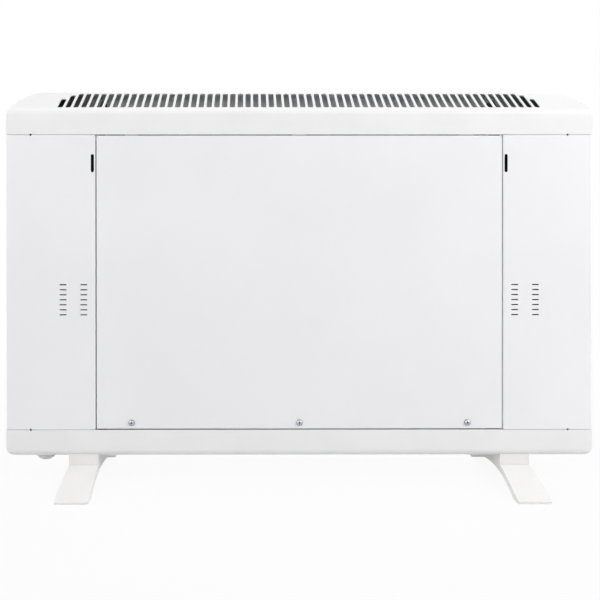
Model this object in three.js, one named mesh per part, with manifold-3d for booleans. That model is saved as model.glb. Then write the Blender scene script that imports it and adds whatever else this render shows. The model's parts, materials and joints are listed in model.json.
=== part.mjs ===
// A free-standing convector heater: a flat casing on two arched feet, with a sloped outlet grille on top.
// Millimetres. X runs along the heater, Y from its front (-) to its back (+), Z up from the floor.
import * as THREE from 'three';
import { mergeVertices } from 'three/addons/utils/BufferGeometryUtils.js';
import Module from 'manifold-3d';

const wasm = await Module();
wasm.setup();

// ---------------------------------------------------------------- driving dimensions

// Casing
const BODY_WIDTH = 850;
const BODY_DEPTH = 82;
const TOTAL_HEIGHT = 579;
const FLOOR_CLEARANCE = 42; // floor to the underside of the casing
const TOP_CAP_HEIGHT = 70.6;
const BOTTOM_CAP_HEIGHT = 38.7;
const CAP_WALL = 2.5;
const BOTTOM_EDGE_RADIUS = 10; // long lower edges, front and back
const BOTTOM_CORNER_RADIUS = 14; // lower corners, seen from the back
const TOP_CORNER_RADIUS = 52; // upper corners, seen from the back
const TOP_CORNER_RISE = 3; // the upper corners' arcs would meet this far above the crest

// Outlet grille
const GRILLE_SLOPE = THREE.MathUtils.degToRad(32.2);
const SLOPE_RUN = 54.5; // from the back face to the crest
const RIM_RADIUS = 12.5; // where the slope meets the back face
const CREST_RADIUS = 8;
const TOP_FRONT_RADIUS = 10;
const OUTLET_PITCH = 11.43;
const OUTLET_WIDTH = 7.9;
const OUTLET_CORNER = 2.6;
const OUTLET_SETBACK = 7; // back face to the low end of a slot
const OUTLET_RUN = 44; // depth from front to back that a slot covers
const OUTLET_SHORTENING = [17, 5.4]; // the outermost slots stop short of the others
const GRILLE_MARGIN = 72; // least distance from the grille to an end of the casing
const GRILLE_WALL = 1.4; // the cap's wall is thinner where the slots are

// Sheet metal and seams
const SHELL_SHEET = 1.2;
const PANEL_SHEET = 1;
const PANEL_BEND_RADIUS = 1.6; // outer edges of the back panel
const CHASSIS_SHEET = 1;
const BEND_RADIUS = 1.2; // on the inside of a bend
const FOLD_DEPTH = 8; // edges of the back panels are folded in this far
const SEAM = 0.8; // between the caps and the end shells
const PANEL_SEAM = 1.5; // around the back panel
const SEAT_GAP = 0.3; // between pieces that rest on each other
const END_STRIP_WIDTH = 130; // from an end of the casing to the back panel's seam
const TONGUE_HEIGHT = 8; // the caps reach this far into the end shells
const TONGUE_WALL = 1.6;

// Back panel
const TAB_WIDTH = 20;
const TAB_HEIGHT = 8;
const PANEL_FASTENER_INSET = 51.5; // seam to the outer screws
const PANEL_SCREW_RISE = 10.2; // lower seam to the screws
const POST_WIDTH = 14;
const POST_DEPTH = 8.5;
const POST_INSET = 9.3; // back face of the casing to the screw posts
const POST_OVERREACH = 8; // the screw posts end this far above the screws
const POST_BOSS_RADIUS = 5.5;

// Openings in the end shells
const HANG_SLOT_WIDTH = 4.7;
const HANG_SLOT_HEIGHT = 26.4;
const HANG_SLOT_OFFSET = 5; // seam to the slot's middle
const HANG_SLOT_DROP = 28; // upper seam to the top of the slot
const VENT_ROWS = 7;
const VENT_PITCH = 7.27;
const VENT_WIDTH = 10.6;
const VENT_HEIGHT = 1.7;
const VENT_OFFSETS = [17.5, 47.6]; // seam to the middle of each column of slits
const VENT_RISE = 188.5; // lower seam to the middle row
const PAINT_HOLE_RADIUS = 1.8; // small round holes that straddle the seams
const PAINT_HOLE_INSET = 35.5; // from an end of the casing

// Front
const GLASS_THICKNESS = 4;
const GLASS_GAP = 0.5;
const GLASS_CORNER = 3;
const DISPLAY_WIDTH = 96;
const DISPLAY_HEIGHT = 34;
const DISPLAY_INSET = 72; // end of the casing to the middle of the display
const DISPLAY_DROP = 52; // upper seam to the middle of the display
const DISPLAY_CORNER = 3;

// Heating chamber
const PARTITION_OFFSET = 3; // back panel's seam to the inner face of a chamber end plate
const PARTITION_FLANGE = 13;
const PARTITION_DROP = 15; // crest of the casing to the level top of a chamber end plate
const FLANGE_CLEARANCE = 8; // hanging slot to the flange below it
const SHIELD_OFFSET = 16; // front face of the glass to the heat shield
const SHIELD_FLANGE = 9;
const ELEMENT_HEIGHTS = [86, 141]; // above the underside of the casing
const ELEMENT_DEPTH = 2;
const ELEMENT_END_GAP = 18; // end plate to the end of the fins
const ELEMENT_TUBE_RADIUS = 6.5;
const ELEMENT_BORE_RADIUS = 2.4;
const FIN_LENGTH = 27;
const FIN_THICKNESS = 1.6;
const FIN_ANGLE = THREE.MathUtils.degToRad(36);
const INSULATOR_RADIUS = 7;
const INSULATOR_COLLAR_RADIUS = 10;
const TERMINAL_ROD_RADIUS = 2;

// Feet
const FOOT_INSET = 111.5; // end of the casing to the middle of a foot
const FOOT_LENGTH = 242;
const FOOT_STEM_WIDTH = 42.6;
const FOOT_TIP_WIDTH = 46.5;
const FOOT_STEM_HALF_LENGTH = 38;
const FOOT_ARCH_HEIGHT = 20.7;
const FOOT_SOLE_LENGTH = 21;
const FOOT_TIP_THICKNESS = 3;
const FOOT_SHOULDER_HEIGHT = 28;
const FOOT_SCREW_SPACING = 44;

// Mains inlet
const GLAND_INSET = 47.6; // end of the casing to the cable gland
const GLAND_NUT_RADIUS = 13.8;
const GLAND_NUT_DROP = 14; // below the underside
const GLAND_THREAD_RADIUS = 8;
const GLAND_CABLE_RADIUS = 3.6;
const GLAND_GROOVES = 16;

// ---------------------------------------------------------------- places that follow from them

const HALF_WIDTH = BODY_WIDTH / 2;
const HALF_DEPTH = BODY_DEPTH / 2;
const UNDERSIDE = FLOOR_CLEARANCE;
const BOTTOM_SEAM = UNDERSIDE + BOTTOM_CAP_HEIGHT;
const TOP_SEAM = TOTAL_HEIGHT - TOP_CAP_HEIGHT;
const CAP_FLOOR = UNDERSIDE + CAP_WALL;
const SEAM_X = HALF_WIDTH - END_STRIP_WIDTH;
const PARTITION_X = SEAM_X - PARTITION_OFFSET;
const GLASS_BACK = -HALF_DEPTH + GLASS_THICKNESS;
const CHASSIS_FRONT = GLASS_BACK + GLASS_GAP; // front face of the sheet metal behind the glass
const FOLD_EDGE = HALF_DEPTH - FOLD_DEPTH; // inner edge of the back panels' folds
const PARTITION_BACK = FOLD_EDGE - GLASS_GAP;
const PARTITION_FRONT = CHASSIS_FRONT + CHASSIS_SHEET + SEAT_GAP;
const SLOPE_FOOT = TOTAL_HEIGHT - SLOPE_RUN * Math.tan(GRILLE_SLOPE);
const HANG_SLOT_Z = TOP_SEAM - HANG_SLOT_DROP - HANG_SLOT_HEIGHT / 2;
const PANEL_FASTENERS = [-SEAM_X + PANEL_FASTENER_INSET, 0, SEAM_X - PANEL_FASTENER_INSET];
const PANEL_SCREW_Z = BOTTOM_SEAM + PANEL_SCREW_RISE;
const FOOT_X = HALF_WIDTH - FOOT_INSET;
const GLAND_X = HALF_WIDTH - GLAND_INSET;
const DISPLAY_X = HALF_WIDTH - DISPLAY_INSET;
const DISPLAY_Z = TOP_SEAM - DISPLAY_DROP;
const SIDES = { left: -1, right: 1 }; // as seen from the front
const FAR = 2000; // longer than any piece, for cutters

// ---------------------------------------------------------------- outlines

const ARC_STEP = THREE.MathUtils.degToRad(30);

// Points of a closed outline. Each corner is [a, b] or, where it is rounded, [a, b, radius].
function roundedPoints(corners, step = ARC_STEP) {
  return corners.flatMap(([x, y, radius = 0], index) => {
    const corner = new THREE.Vector2(x, y);
    if (radius === 0) return [corner];
    const before = new THREE.Vector2(...corners.at(index - 1)).sub(corner).normalize();
    const after = new THREE.Vector2(...corners[(index + 1) % corners.length]).sub(corner).normalize();
    const half = Math.acos(before.dot(after)) / 2;
    const centre = before.clone().add(after).setLength(radius / Math.sin(half)).add(corner);
    const start = before.clone().setLength(radius / Math.tan(half)).add(corner);
    const turn = (Math.PI - 2 * half) * Math.sign(after.cross(before));
    const count = Math.max(1, Math.round(Math.abs(turn) / step));
    return Array.from({ length: count + 1 }, (_, k) => start.clone().rotateAround(centre, (turn * k) / count));
  });
}

function rectangle(x, y, width, height, radius = 0) {
  const [left, right] = [x - width / 2, x + width / 2];
  const [low, high] = [y - height / 2, y + height / 2];
  return [[left, low, radius], [right, low, radius], [right, high, radius], [left, high, radius]];
}

// The line from one corner to the next, moved to its left.
function offsetLine([x0, y0], [x1, y1], distance) {
  const along = new THREE.Vector2(x1 - x0, y1 - y0).normalize();
  const shift = new THREE.Vector2(-along.y, along.x).multiplyScalar(distance);
  return { start: new THREE.Vector2(x0, y0).add(shift), end: new THREE.Vector2(x1, y1).add(shift), along };
}

function crossing(first, second) {
  const reach = second.start.clone().sub(first.start).cross(second.along) / first.along.cross(second.along);
  return first.start.clone().addScaledVector(first.along, reach);
}

// A counter-clockwise convex outline, moved inwards.
function inset(corners, distance) {
  const lines = corners.map((corner, i) => offsetLine(corner, corners[(i + 1) % corners.length], distance));
  return corners.map(([, , radius = 0], i) => {
    const { x, y } = crossing(lines.at(i - 1), lines[i]);
    return [x, y, Math.max(radius - distance, 0)];
  });
}

// The section of a bent sheet that lies to the left of a path.
function bentSheet(path, thickness, innerRadius = BEND_RADIUS) {
  const lines = path.slice(1).map((end, i) => offsetLine(path[i], end, thickness));
  const bends = path.slice(1, -1).map(([x, y], i) => {
    const turnsLeft = lines[i].along.cross(lines[i + 1].along) > 0;
    const other = crossing(lines[i], lines[i + 1]);
    const outerRadius = innerRadius + thickness;
    return {
      near: [x, y, turnsLeft ? outerRadius : innerRadius],
      far: [other.x, other.y, turnsLeft ? innerRadius : outerRadius],
    };
  });
  const nearSide = [path[0], ...bends.map((bend) => bend.near), path.at(-1)];
  const farSide = [lines[0].start.toArray(), ...bends.map((bend) => bend.far), lines.at(-1).end.toArray()];
  return [...nearSide, ...farSide.reverse()];
}

function mirrored(corners, side) {
  return corners.map(([x, ...rest]) => [x * side, ...rest]);
}

// ---------------------------------------------------------------- solids

function toSolid(geometry) {
  geometry.deleteAttribute('normal');
  geometry.deleteAttribute('uv');
  const merged = mergeVertices(geometry);
  const indices = merged.index.array;
  const triangles = [];
  for (let i = 0; i < indices.length; i += 3) {
    const [a, b, c] = indices.slice(i, i + 3);
    if (a !== b && b !== c && c !== a) triangles.push(a, b, c);
  }
  const vertProperties = new Float32Array(merged.attributes.position.array);
  return new wasm.Manifold(new wasm.Mesh({ numProp: 3, vertProperties, triVerts: new Uint32Array(triangles) }));
}

function extruded(corners, depth, basis, position, step) {
  const shape = new THREE.Shape(roundedPoints(corners, step));
  const geometry = new THREE.ExtrudeGeometry(shape, { depth, bevelEnabled: false });
  return toSolid(geometry.applyMatrix4(new THREE.Matrix4().makeBasis(...basis).setPosition(...position)));
}

const X = new THREE.Vector3(1, 0, 0);
const Y = new THREE.Vector3(0, 1, 0);
const Z = new THREE.Vector3(0, 0, 1);

// An outline of [y, z] corners, extruded along X.
const alongX = (corners, from, to, step) => extruded(corners, to - from, [Y, Z, X], [from, 0, 0], step);

// An outline of [x, z] corners, extruded along Y.
const alongY = (corners, from, to, step) =>
  extruded(corners, to - from, [X, Z, Y.clone().negate()], [0, to, 0], step);

// An outline of [x, y] corners, extruded along Z.
const alongZ = (corners, from, to, step) => extruded(corners, to - from, [X, Y, Z], [0, 0, from], step);

// A profile of [radius, distance along the axis] points, turned about an axis. Its outside runs along the axis.
function turned(profile, origin, axis, segments = 24) {
  const points = profile.map(([radius, along]) => new THREE.Vector2(radius, along));
  const geometry = new THREE.LatheGeometry(points, segments);
  geometry.applyQuaternion(new THREE.Quaternion().setFromUnitVectors(Y, axis));
  return toSolid(geometry.translate(...origin));
}

function rod(origin, axis, from, to, radius, segments = 12) {
  return turned([[0, from], [radius, from], [radius, to], [0, to]], origin, axis, segments);
}

const join = (first, ...others) => others.reduce((whole, piece) => whole.add(piece), first);
const cut = (first, ...tools) => tools.reduce((whole, tool) => whole.subtract(tool), first);

// ---------------------------------------------------------------- materials

const finish = (color, roughness, metalness) => ({ color, roughness, metalness, flatShading: true });
const WHITE_PLASTIC = finish(0xf0f0ee, 0.45, 0);
const WHITE_PAINT = finish(0xf2f3f4, 0.4, 0.1);
const WHITE_GLASS = finish(0xf6f7f7, 0.1, 0);
const FOOT_PLASTIC = finish(0xececea, 0.5, 0);
const BLACK_PLASTIC = finish(0x1c1d1f, 0.5, 0);
const BLACK_PAINT = finish(0x151617, 0.6, 0.2);
const DARK_GLASS = finish(0x0b0c0e, 0.08, 0);
const GALVANISED = finish(0xb4b8bb, 0.45, 0.8);
const ALUMINIUM = finish(0xc9ccce, 0.4, 0.9);
const ZINC = finish(0xc4c6c8, 0.3, 0.95);
const CERAMIC = finish(0xe6e0d4, 0.6, 0);
const CIRCUIT_BOARD = finish(0x1f5a38, 0.55, 0);
const BRASS = finish(0xb89a52, 0.35, 0.9);

const heater = new THREE.Group();

function addPiece(name, solid, material) {
  const { vertProperties, triVerts } = solid.getMesh();
  const geometry = new THREE.BufferGeometry();
  geometry.setAttribute('position', new THREE.BufferAttribute(vertProperties, 3));
  geometry.setIndex(new THREE.BufferAttribute(triVerts, 1));
  geometry.computeVertexNormals();
  const mesh = new THREE.Mesh(geometry, new THREE.MeshStandardMaterial(material));
  mesh.name = name;
  heater.add(mesh);
  return mesh;
}

// ---------------------------------------------------------------- casing form

// The whole casing, or its inside a wall's thickness in: a side outline and a front outline, crossed.
const CASING_SIDE = [
  [-HALF_DEPTH, UNDERSIDE, BOTTOM_EDGE_RADIUS],
  [HALF_DEPTH, UNDERSIDE, BOTTOM_EDGE_RADIUS],
  [HALF_DEPTH, SLOPE_FOOT, RIM_RADIUS],
  [HALF_DEPTH - SLOPE_RUN, TOTAL_HEIGHT, CREST_RADIUS],
  [-HALF_DEPTH, TOTAL_HEIGHT, TOP_FRONT_RADIUS],
];
const CASING_FRONT = [
  [-HALF_WIDTH, UNDERSIDE, BOTTOM_CORNER_RADIUS],
  [HALF_WIDTH, UNDERSIDE, BOTTOM_CORNER_RADIUS],
  [HALF_WIDTH, TOTAL_HEIGHT + TOP_CORNER_RISE, TOP_CORNER_RADIUS],
  [-HALF_WIDTH, TOTAL_HEIGHT + TOP_CORNER_RISE, TOP_CORNER_RADIUS],
];
// The casing's own edges are rounded more finely.
const EDGE_ARC_STEP = THREE.MathUtils.degToRad(18);
const CORNER_ARC_STEP = THREE.MathUtils.degToRad(10);

function casingForm(wall) {
  const lengthwise = alongX(inset(CASING_SIDE, wall), -FAR, FAR, EDGE_ARC_STEP);
  return lengthwise.intersect(alongY(inset(CASING_FRONT, wall), -FAR, FAR, CORNER_ARC_STEP));
}

function casingBand(from, to) {
  const band = alongZ(rectangle(0, 0, FAR, FAR), from, to);
  return casingForm(0).subtract(casingForm(CAP_WALL)).intersect(band);
}

// The lip of a cap that reaches into an end shell, along its end wall and its back strip.
function capTongue(side, from, to) {
  const outer = SHELL_SHEET + SEAT_GAP;
  const path = [
    [HALF_WIDTH - outer, CHASSIS_FRONT + outer + BEND_RADIUS],
    [HALF_WIDTH - outer, HALF_DEPTH - outer],
    [SEAM_X + FOLD_DEPTH, HALF_DEPTH - outer],
  ];
  return alongZ(mirrored(bentSheet(path, TONGUE_WALL), side), from, to);
}

function paintHoles() {
  const places = [BOTTOM_SEAM, TOP_SEAM].flatMap((z) => [-1, 1].map((side) => [side, z]));
  return places.map(([side, z]) =>
    rod([side * (HALF_WIDTH - PAINT_HOLE_INSET), HALF_DEPTH, z], Y, -2 * CAP_WALL, 1, PAINT_HOLE_RADIUS, 10));
}

// ---------------------------------------------------------------- top cap with the outlet grille

const OUTLET_COUNT = Math.floor((BODY_WIDTH - 2 * GRILLE_MARGIN - OUTLET_WIDTH) / OUTLET_PITCH) + 1;
const GRILLE_RECESS_MARGIN = 3; // the thin wall reaches this far past the slots

// A cutter that stands square on the slope. It covers a width about x and a run of depth in from the back face,
// and reaches along the slope's normal from one height to another.
function slopeCutter(x, width, setback, run, from, to, corner) {
  const upSlope = new THREE.Vector3(0, -Math.cos(GRILLE_SLOPE), Math.sin(GRILLE_SLOPE));
  const normal = new THREE.Vector3(0, Math.sin(GRILLE_SLOPE), Math.cos(GRILLE_SLOPE));
  const [low, high] = [setback, setback + run].map((depth) => depth / Math.cos(GRILLE_SLOPE));
  const corners = rectangle(-x, (low + high) / 2, width, high - low, corner);
  const foot = new THREE.Vector3(0, HALF_DEPTH, SLOPE_FOOT).addScaledVector(normal, from);
  return extruded(corners, to - from, [X.clone().negate(), upSlope, normal], foot.toArray(), Math.PI / 4);
}

function outletCutters() {
  const reach = 2 * CAP_WALL;
  return Array.from({ length: OUTLET_COUNT }, (_, i) => {
    const fromEnd = Math.min(i, OUTLET_COUNT - 1 - i);
    const run = OUTLET_RUN - (OUTLET_SHORTENING[fromEnd] ?? 0);
    const x = (i - (OUTLET_COUNT - 1) / 2) * OUTLET_PITCH;
    return slopeCutter(x, OUTLET_WIDTH, OUTLET_SETBACK, run, -reach, reach, OUTLET_CORNER);
  });
}

// Takes the inside of the wall away under all the slots.
function grilleRecess() {
  const margin = GRILLE_RECESS_MARGIN;
  const width = (OUTLET_COUNT - 1) * OUTLET_PITCH + OUTLET_WIDTH + 2 * margin;
  const [setback, run] = [OUTLET_SETBACK - margin / 2, OUTLET_RUN + margin];
  return slopeCutter(0, width, setback, run, -2 * CAP_WALL, -GRILLE_WALL, margin);
}

function addTopCap() {
  const edge = TOP_SEAM + SEAM / 2;
  const tongues = [-1, 1].map((side) => capTongue(side, TOP_SEAM - TONGUE_HEIGHT, edge + CAP_WALL));
  const cap = join(casingBand(edge, FAR), ...tongues);
  addPiece('top_cap', cut(cap, grilleRecess(), ...outletCutters(), ...paintHoles()), WHITE_PLASTIC);
}

// ---------------------------------------------------------------- bottom cap

const INLET_PITCH = 22;
const INLET_WIDTH = 10;
const INLET_LENGTH = 46;
const INLET_MARGIN = 16; // chamber end plate to the nearest slot
const FOOT_BOSS_RADIUS = 5.5;
const FOOT_BOSS_HEIGHT = 14;
const SCREW_HOLE_RADIUS = 2.3;
const PANEL_SCREW_RADIUS = 1.75;
const SCREW_CLEARANCE = 0.3;
const GLAND_RECESS = 0.3;

function inletCutters() {
  const count = Math.floor((2 * (PARTITION_X - INLET_MARGIN) - INLET_WIDTH) / INLET_PITCH) + 1;
  return Array.from({ length: count }, (_, i) => {
    const x = (i - (count - 1) / 2) * INLET_PITCH;
    const corners = rectangle(x, 0, INLET_WIDTH, INLET_LENGTH, INLET_WIDTH * 0.3);
    return alongZ(corners, UNDERSIDE - 1, CAP_FLOOR + 1, Math.PI / 2);
  });
}

// Posts that stand up behind the back panel's lower fold. A round boss on each meets the panel and its screw.
function screwPost(x) {
  const face = HALF_DEPTH - POST_INSET;
  const corners = rectangle(x, face - POST_DEPTH / 2, POST_WIDTH, POST_DEPTH, 1.5);
  const post = alongZ(corners, CAP_FLOOR - CAP_WALL / 2, PANEL_SCREW_Z + POST_OVERREACH);
  const seat = [x, HALF_DEPTH - PANEL_SHEET - SEAT_GAP, PANEL_SCREW_Z];
  const bossLength = POST_INSET - PANEL_SHEET - SEAT_GAP;
  const boss = rod(seat, Y, -bossLength - POST_DEPTH / 2, 0, POST_BOSS_RADIUS, 16);
  const hole = rod(seat, Y, -bossLength - POST_DEPTH - 1, 1, PANEL_SCREW_RADIUS + SCREW_CLEARANCE, 12);
  return cut(join(post, boss), hole);
}

const FOOT_SCREWS = [-1, 1].flatMap((side) => [-1, 1].map((end) => ({
  x: side * FOOT_X,
  y: (end * FOOT_SCREW_SPACING) / 2,
  name: `${side < 0 ? 'left' : 'right'}_${end < 0 ? 'front' : 'rear'}`,
})));

function addBottomCap() {
  const edge = BOTTOM_SEAM - SEAM / 2;
  const tongues = [-1, 1].map((side) => capTongue(side, edge - CAP_WALL, BOTTOM_SEAM + TONGUE_HEIGHT));
  const bosses = FOOT_SCREWS.map(({ x, y }) =>
    rod([x, y, UNDERSIDE], Z, CAP_WALL / 2, FOOT_BOSS_HEIGHT, FOOT_BOSS_RADIUS));
  const holes = FOOT_SCREWS.map(({ x, y }) =>
    rod([x, y, UNDERSIDE], Z, -1, FOOT_BOSS_HEIGHT + 1, SCREW_HOLE_RADIUS, 12));
  const glandHole = rod([GLAND_X, 0, UNDERSIDE], Z, -1, CAP_WALL + 1, GLAND_THREAD_RADIUS + GLAND_RECESS, 24);
  const cap = join(casingBand(-FAR, edge), ...tongues, ...bosses, ...PANEL_FASTENERS.map(screwPost));
  addPiece('bottom_cap', cut(cap, ...holes, glandHole, ...inletCutters(), ...paintHoles()), WHITE_PLASTIC);
}

// ---------------------------------------------------------------- end shells and back panel

const SWITCH_Z = UNDERSIDE + 86;
const BEZEL_HEIGHT = 31;
const BEZEL_WIDTH = 22;
const BEZEL_CORNER = 2;
const RETURN_WIDTH = 25; // the end shells reach this far in behind the glass

function throughBackStrip(corners, side, step) {
  return alongY(mirrored(corners, side), HALF_DEPTH - 2 * SHELL_SHEET, HALF_DEPTH + 1, step);
}

function hangSlot(side) {
  const [width, height] = [HANG_SLOT_WIDTH, HANG_SLOT_HEIGHT];
  const corners = rectangle(SEAM_X + HANG_SLOT_OFFSET, HANG_SLOT_Z, width, height, width * 0.49);
  return throughBackStrip(corners, side);
}

function ventSlits(side) {
  const rows = Array.from({ length: VENT_ROWS }, (_, row) => (row - (VENT_ROWS - 1) / 2) * VENT_PITCH);
  return VENT_OFFSETS.flatMap((offset) => rows.map((rise) => {
    const z = BOTTOM_SEAM + VENT_RISE + rise;
    const corners = rectangle(SEAM_X + offset, z, VENT_WIDTH, VENT_HEIGHT, VENT_HEIGHT * 0.49);
    return throughBackStrip(corners, side, Math.PI / 2);
  }));
}

function addEndShell(name, side) {
  const edge = SEAM_X + PANEL_SEAM / 2;
  const path = [
    [HALF_WIDTH - RETURN_WIDTH, CHASSIS_FRONT],
    [HALF_WIDTH, CHASSIS_FRONT],
    [HALF_WIDTH, HALF_DEPTH],
    [edge, HALF_DEPTH],
    [edge, FOLD_EDGE],
  ];
  const section = mirrored(bentSheet(path, SHELL_SHEET), side);
  let shell = alongZ(section, BOTTOM_SEAM + SEAM / 2, TOP_SEAM - SEAM / 2);
  shell = cut(shell, hangSlot(side), ...ventSlits(side), ...paintHoles());
  if (side === SIDES.right) {
    const [width, height] = [BEZEL_WIDTH, BEZEL_HEIGHT].map((size) => size + 2 * SEAT_GAP);
    const opening = rectangle(0, SWITCH_Z, width, height, BEZEL_CORNER);
    shell = shell.subtract(alongX(opening, HALF_WIDTH - 2 * SHELL_SHEET, HALF_WIDTH + 1));
  }
  addPiece(name, shell, WHITE_PAINT);
}

const PANEL_LOW = BOTTOM_SEAM - SEAM / 2 + PANEL_SEAM;
const PANEL_HIGH = TOP_SEAM + SEAM / 2 - PANEL_SEAM;
const PANEL_WIDTH = 2 * SEAM_X - PANEL_SEAM;

// The back panel's outside, or its inside a sheet's thickness in: a flat box with its rear edges rounded.
function panelForm(wall) {
  const [left, right] = [-PANEL_WIDTH / 2 + wall, PANEL_WIDTH / 2 - wall];
  const [low, high] = [PANEL_LOW + wall, PANEL_HIGH - wall];
  const [front, back] = [FOLD_EDGE - wall, HALF_DEPTH - wall];
  const radius = PANEL_BEND_RADIUS - wall;
  const plan = [[left, front], [right, front], [right, back, radius], [left, back, radius]];
  const side = [[front, low], [back, low, radius], [back, high, radius], [front, high]];
  return alongZ(plan, low, high).intersect(alongX(side, left, right));
}

// A shallow tray, with hooks along its top that reach up behind the cap.
function addRearPanel() {
  const tray = panelForm(0).subtract(panelForm(PANEL_SHEET));
  const tabBack = HALF_DEPTH - CAP_WALL - SEAT_GAP;
  const tabPath = [
    [FOLD_EDGE + 1, PANEL_HIGH],
    [tabBack, PANEL_HIGH],
    [tabBack, PANEL_HIGH + TAB_HEIGHT],
  ];
  const tabs = PANEL_FASTENERS.map((x) =>
    alongX(bentSheet(tabPath, PANEL_SHEET), x - TAB_WIDTH / 2, x + TAB_WIDTH / 2));
  const holes = PANEL_FASTENERS.map((x) =>
    rod([x, HALF_DEPTH, PANEL_SCREW_Z], Y, -2 * PANEL_SHEET, 1, PANEL_SCREW_RADIUS + SCREW_CLEARANCE, 12));
  addPiece('rear_panel', cut(join(tray, ...tabs), ...holes), WHITE_PAINT);
}

// ---------------------------------------------------------------- screws

const PANEL_SCREW = { headRadius: 4.35, headHeight: 2.4, shankRadius: PANEL_SCREW_RADIUS };
const PANEL_SCREW_LENGTH = 10;
const FOOT_SCREW = { headRadius: 4, headHeight: 2.6, shankRadius: 2 };
const FOOT_SCREW_SEAT = 31; // height of the ledge that the heads of the foot screws bear on

// A pan head with a cross recess, and a plain shank below it. The axis points out of the head.
function panScrew(origin, axis, { headRadius, headHeight, shankRadius }, length) {
  const crown = headHeight * 0.45;
  const profile = [
    [0, -length],
    [shankRadius, -length + shankRadius],
    [shankRadius, 0],
    [headRadius, 0],
    [headRadius, headHeight - crown],
    [headRadius * 0.6, headHeight],
    [0, headHeight],
  ];
  const turn = new THREE.Quaternion().setFromUnitVectors(Z, axis);
  const [u, v] = [X.clone().applyQuaternion(turn), Y.clone().applyQuaternion(turn)];
  const recessDepth = headHeight * 0.7;
  const base = new THREE.Vector3(...origin).addScaledVector(axis, headHeight - recessDepth);
  const arm = (width, height) =>
    extruded(rectangle(0, 0, width, height), headHeight, [u, v, axis], base.toArray());
  const [reach, slot] = [headRadius * 1.1, headRadius * 0.26];
  return cut(turned(profile, origin, axis, 14), join(arm(reach, slot), arm(slot, reach)));
}

function addScrews() {
  const names = ['left', 'centre', 'right'];
  PANEL_FASTENERS.forEach((x, i) => {
    const seat = [x, HALF_DEPTH + SEAT_GAP, PANEL_SCREW_Z];
    addPiece(`rear_screw_${names[i]}`, panScrew(seat, Y, PANEL_SCREW, PANEL_SCREW_LENGTH), ZINC);
  });
  for (const { x, y, name } of FOOT_SCREWS) {
    const seat = [x, y, FOOT_SCREW_SEAT - SEAT_GAP];
    const length = UNDERSIDE + FOOT_BOSS_HEIGHT - FOOT_SCREW_SEAT - 1;
    addPiece(`foot_screw_${name}`, panScrew(seat, Z.clone().negate(), FOOT_SCREW, length), ZINC);
  }
}

// ---------------------------------------------------------------- feet

const FOOT_COUNTERBORE = 5;
const FOOT_POCKET_LENGTH = 24;
const FOOT_POCKET_WALL = 4;
const FOOT_TIP_RADIUS = 2.5;
const FOOT_GROOVE = 0.7;
const FOOT_TOP = UNDERSIDE + BOTTOM_EDGE_RADIUS / 2; // before the casing's form is taken out of it

// The foot's side: a round arch below, and above it two arms that sweep down from the stem to thin tips.
// A fine groove marks where each arm leaves the stem.
function footSide() {
  const half = FOOT_LENGTH / 2;
  const archHalf = half - FOOT_SOLE_LENGTH;
  const archRadius = (archHalf ** 2 + FOOT_ARCH_HEIGHT ** 2) / (2 * FOOT_ARCH_HEIGHT);
  const archAngle = Math.asin(archHalf / archRadius);
  const arch = Array.from({ length: 21 }, (_, i) => {
    const angle = archAngle * (i / 10 - 1);
    return [archRadius * Math.sin(angle), FOOT_ARCH_HEIGHT - archRadius * (1 - Math.cos(angle))];
  });
  const [stem, shoulder] = [FOOT_STEM_HALF_LENGTH, FOOT_SHOULDER_HEIGHT];
  const arm = new THREE.QuadraticBezierCurve(
    new THREE.Vector2(half, FOOT_TIP_THICKNESS),
    new THREE.Vector2((half + stem) / 2, shoulder * 0.72),
    new THREE.Vector2(stem, shoulder),
  ).getPoints(8).map(({ x, y }) => [x, y]);
  const groove = FOOT_GROOVE;
  const rightSide = [
    [half, 0],
    ...arm,
    [stem - groove, shoulder + groove / 2],
    [stem - groove, shoulder + groove * 1.5],
    [stem, shoulder + groove * 2],
    [stem, FOOT_TOP],
  ];
  const leftSide = rightSide.map(([y, ...rest]) => [-y, ...rest]).reverse();
  return [...arch, ...rightSide, ...leftSide];
}

// The top of the stem is hollowed to the round edges of the casing that it is screwed to.
function addFoot(name, side) {
  const half = FOOT_LENGTH / 2;
  const [stem, tip] = [FOOT_STEM_WIDTH / 2, FOOT_TIP_WIDTH / 2];
  const x = side * FOOT_X;
  const halfPlan = [
    [-tip, half, FOOT_TIP_RADIUS],
    [-stem, FOOT_STEM_HALF_LENGTH],
    [-stem, -FOOT_STEM_HALF_LENGTH],
    [-tip, -half, FOOT_TIP_RADIUS],
  ];
  const plan = [...halfPlan, ...halfPlan.map(([a, b, radius = 0]) => [-a, -b, radius])];
  const body = alongX(footSide(), x - FOOT_TIP_WIDTH, x + FOOT_TIP_WIDTH)
    .intersect(alongZ(plan.map(([a, b, radius = 0]) => [x + a, b, radius]), -1, FOOT_TOP));
  const pocketWidth = FOOT_STEM_WIDTH - 2 * FOOT_POCKET_WALL;
  const pocket = alongZ(rectangle(x, 0, pocketWidth, FOOT_POCKET_LENGTH, 3), -1, UNDERSIDE - FOOT_POCKET_WALL);
  const screws = FOOT_SCREWS.filter((screw) => screw.x === x).flatMap(({ y }) => [
    rod([x, y, 0], Z, -1, FOOT_SCREW_SEAT, FOOT_COUNTERBORE),
    rod([x, y, 0], Z, 0, UNDERSIDE + 1, SCREW_HOLE_RADIUS, 12),
  ]);
  addPiece(name, cut(body, casingForm(-SEAT_GAP), pocket, ...screws), FOOT_PLASTIC);
}

// ---------------------------------------------------------------- front glass and display

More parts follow.
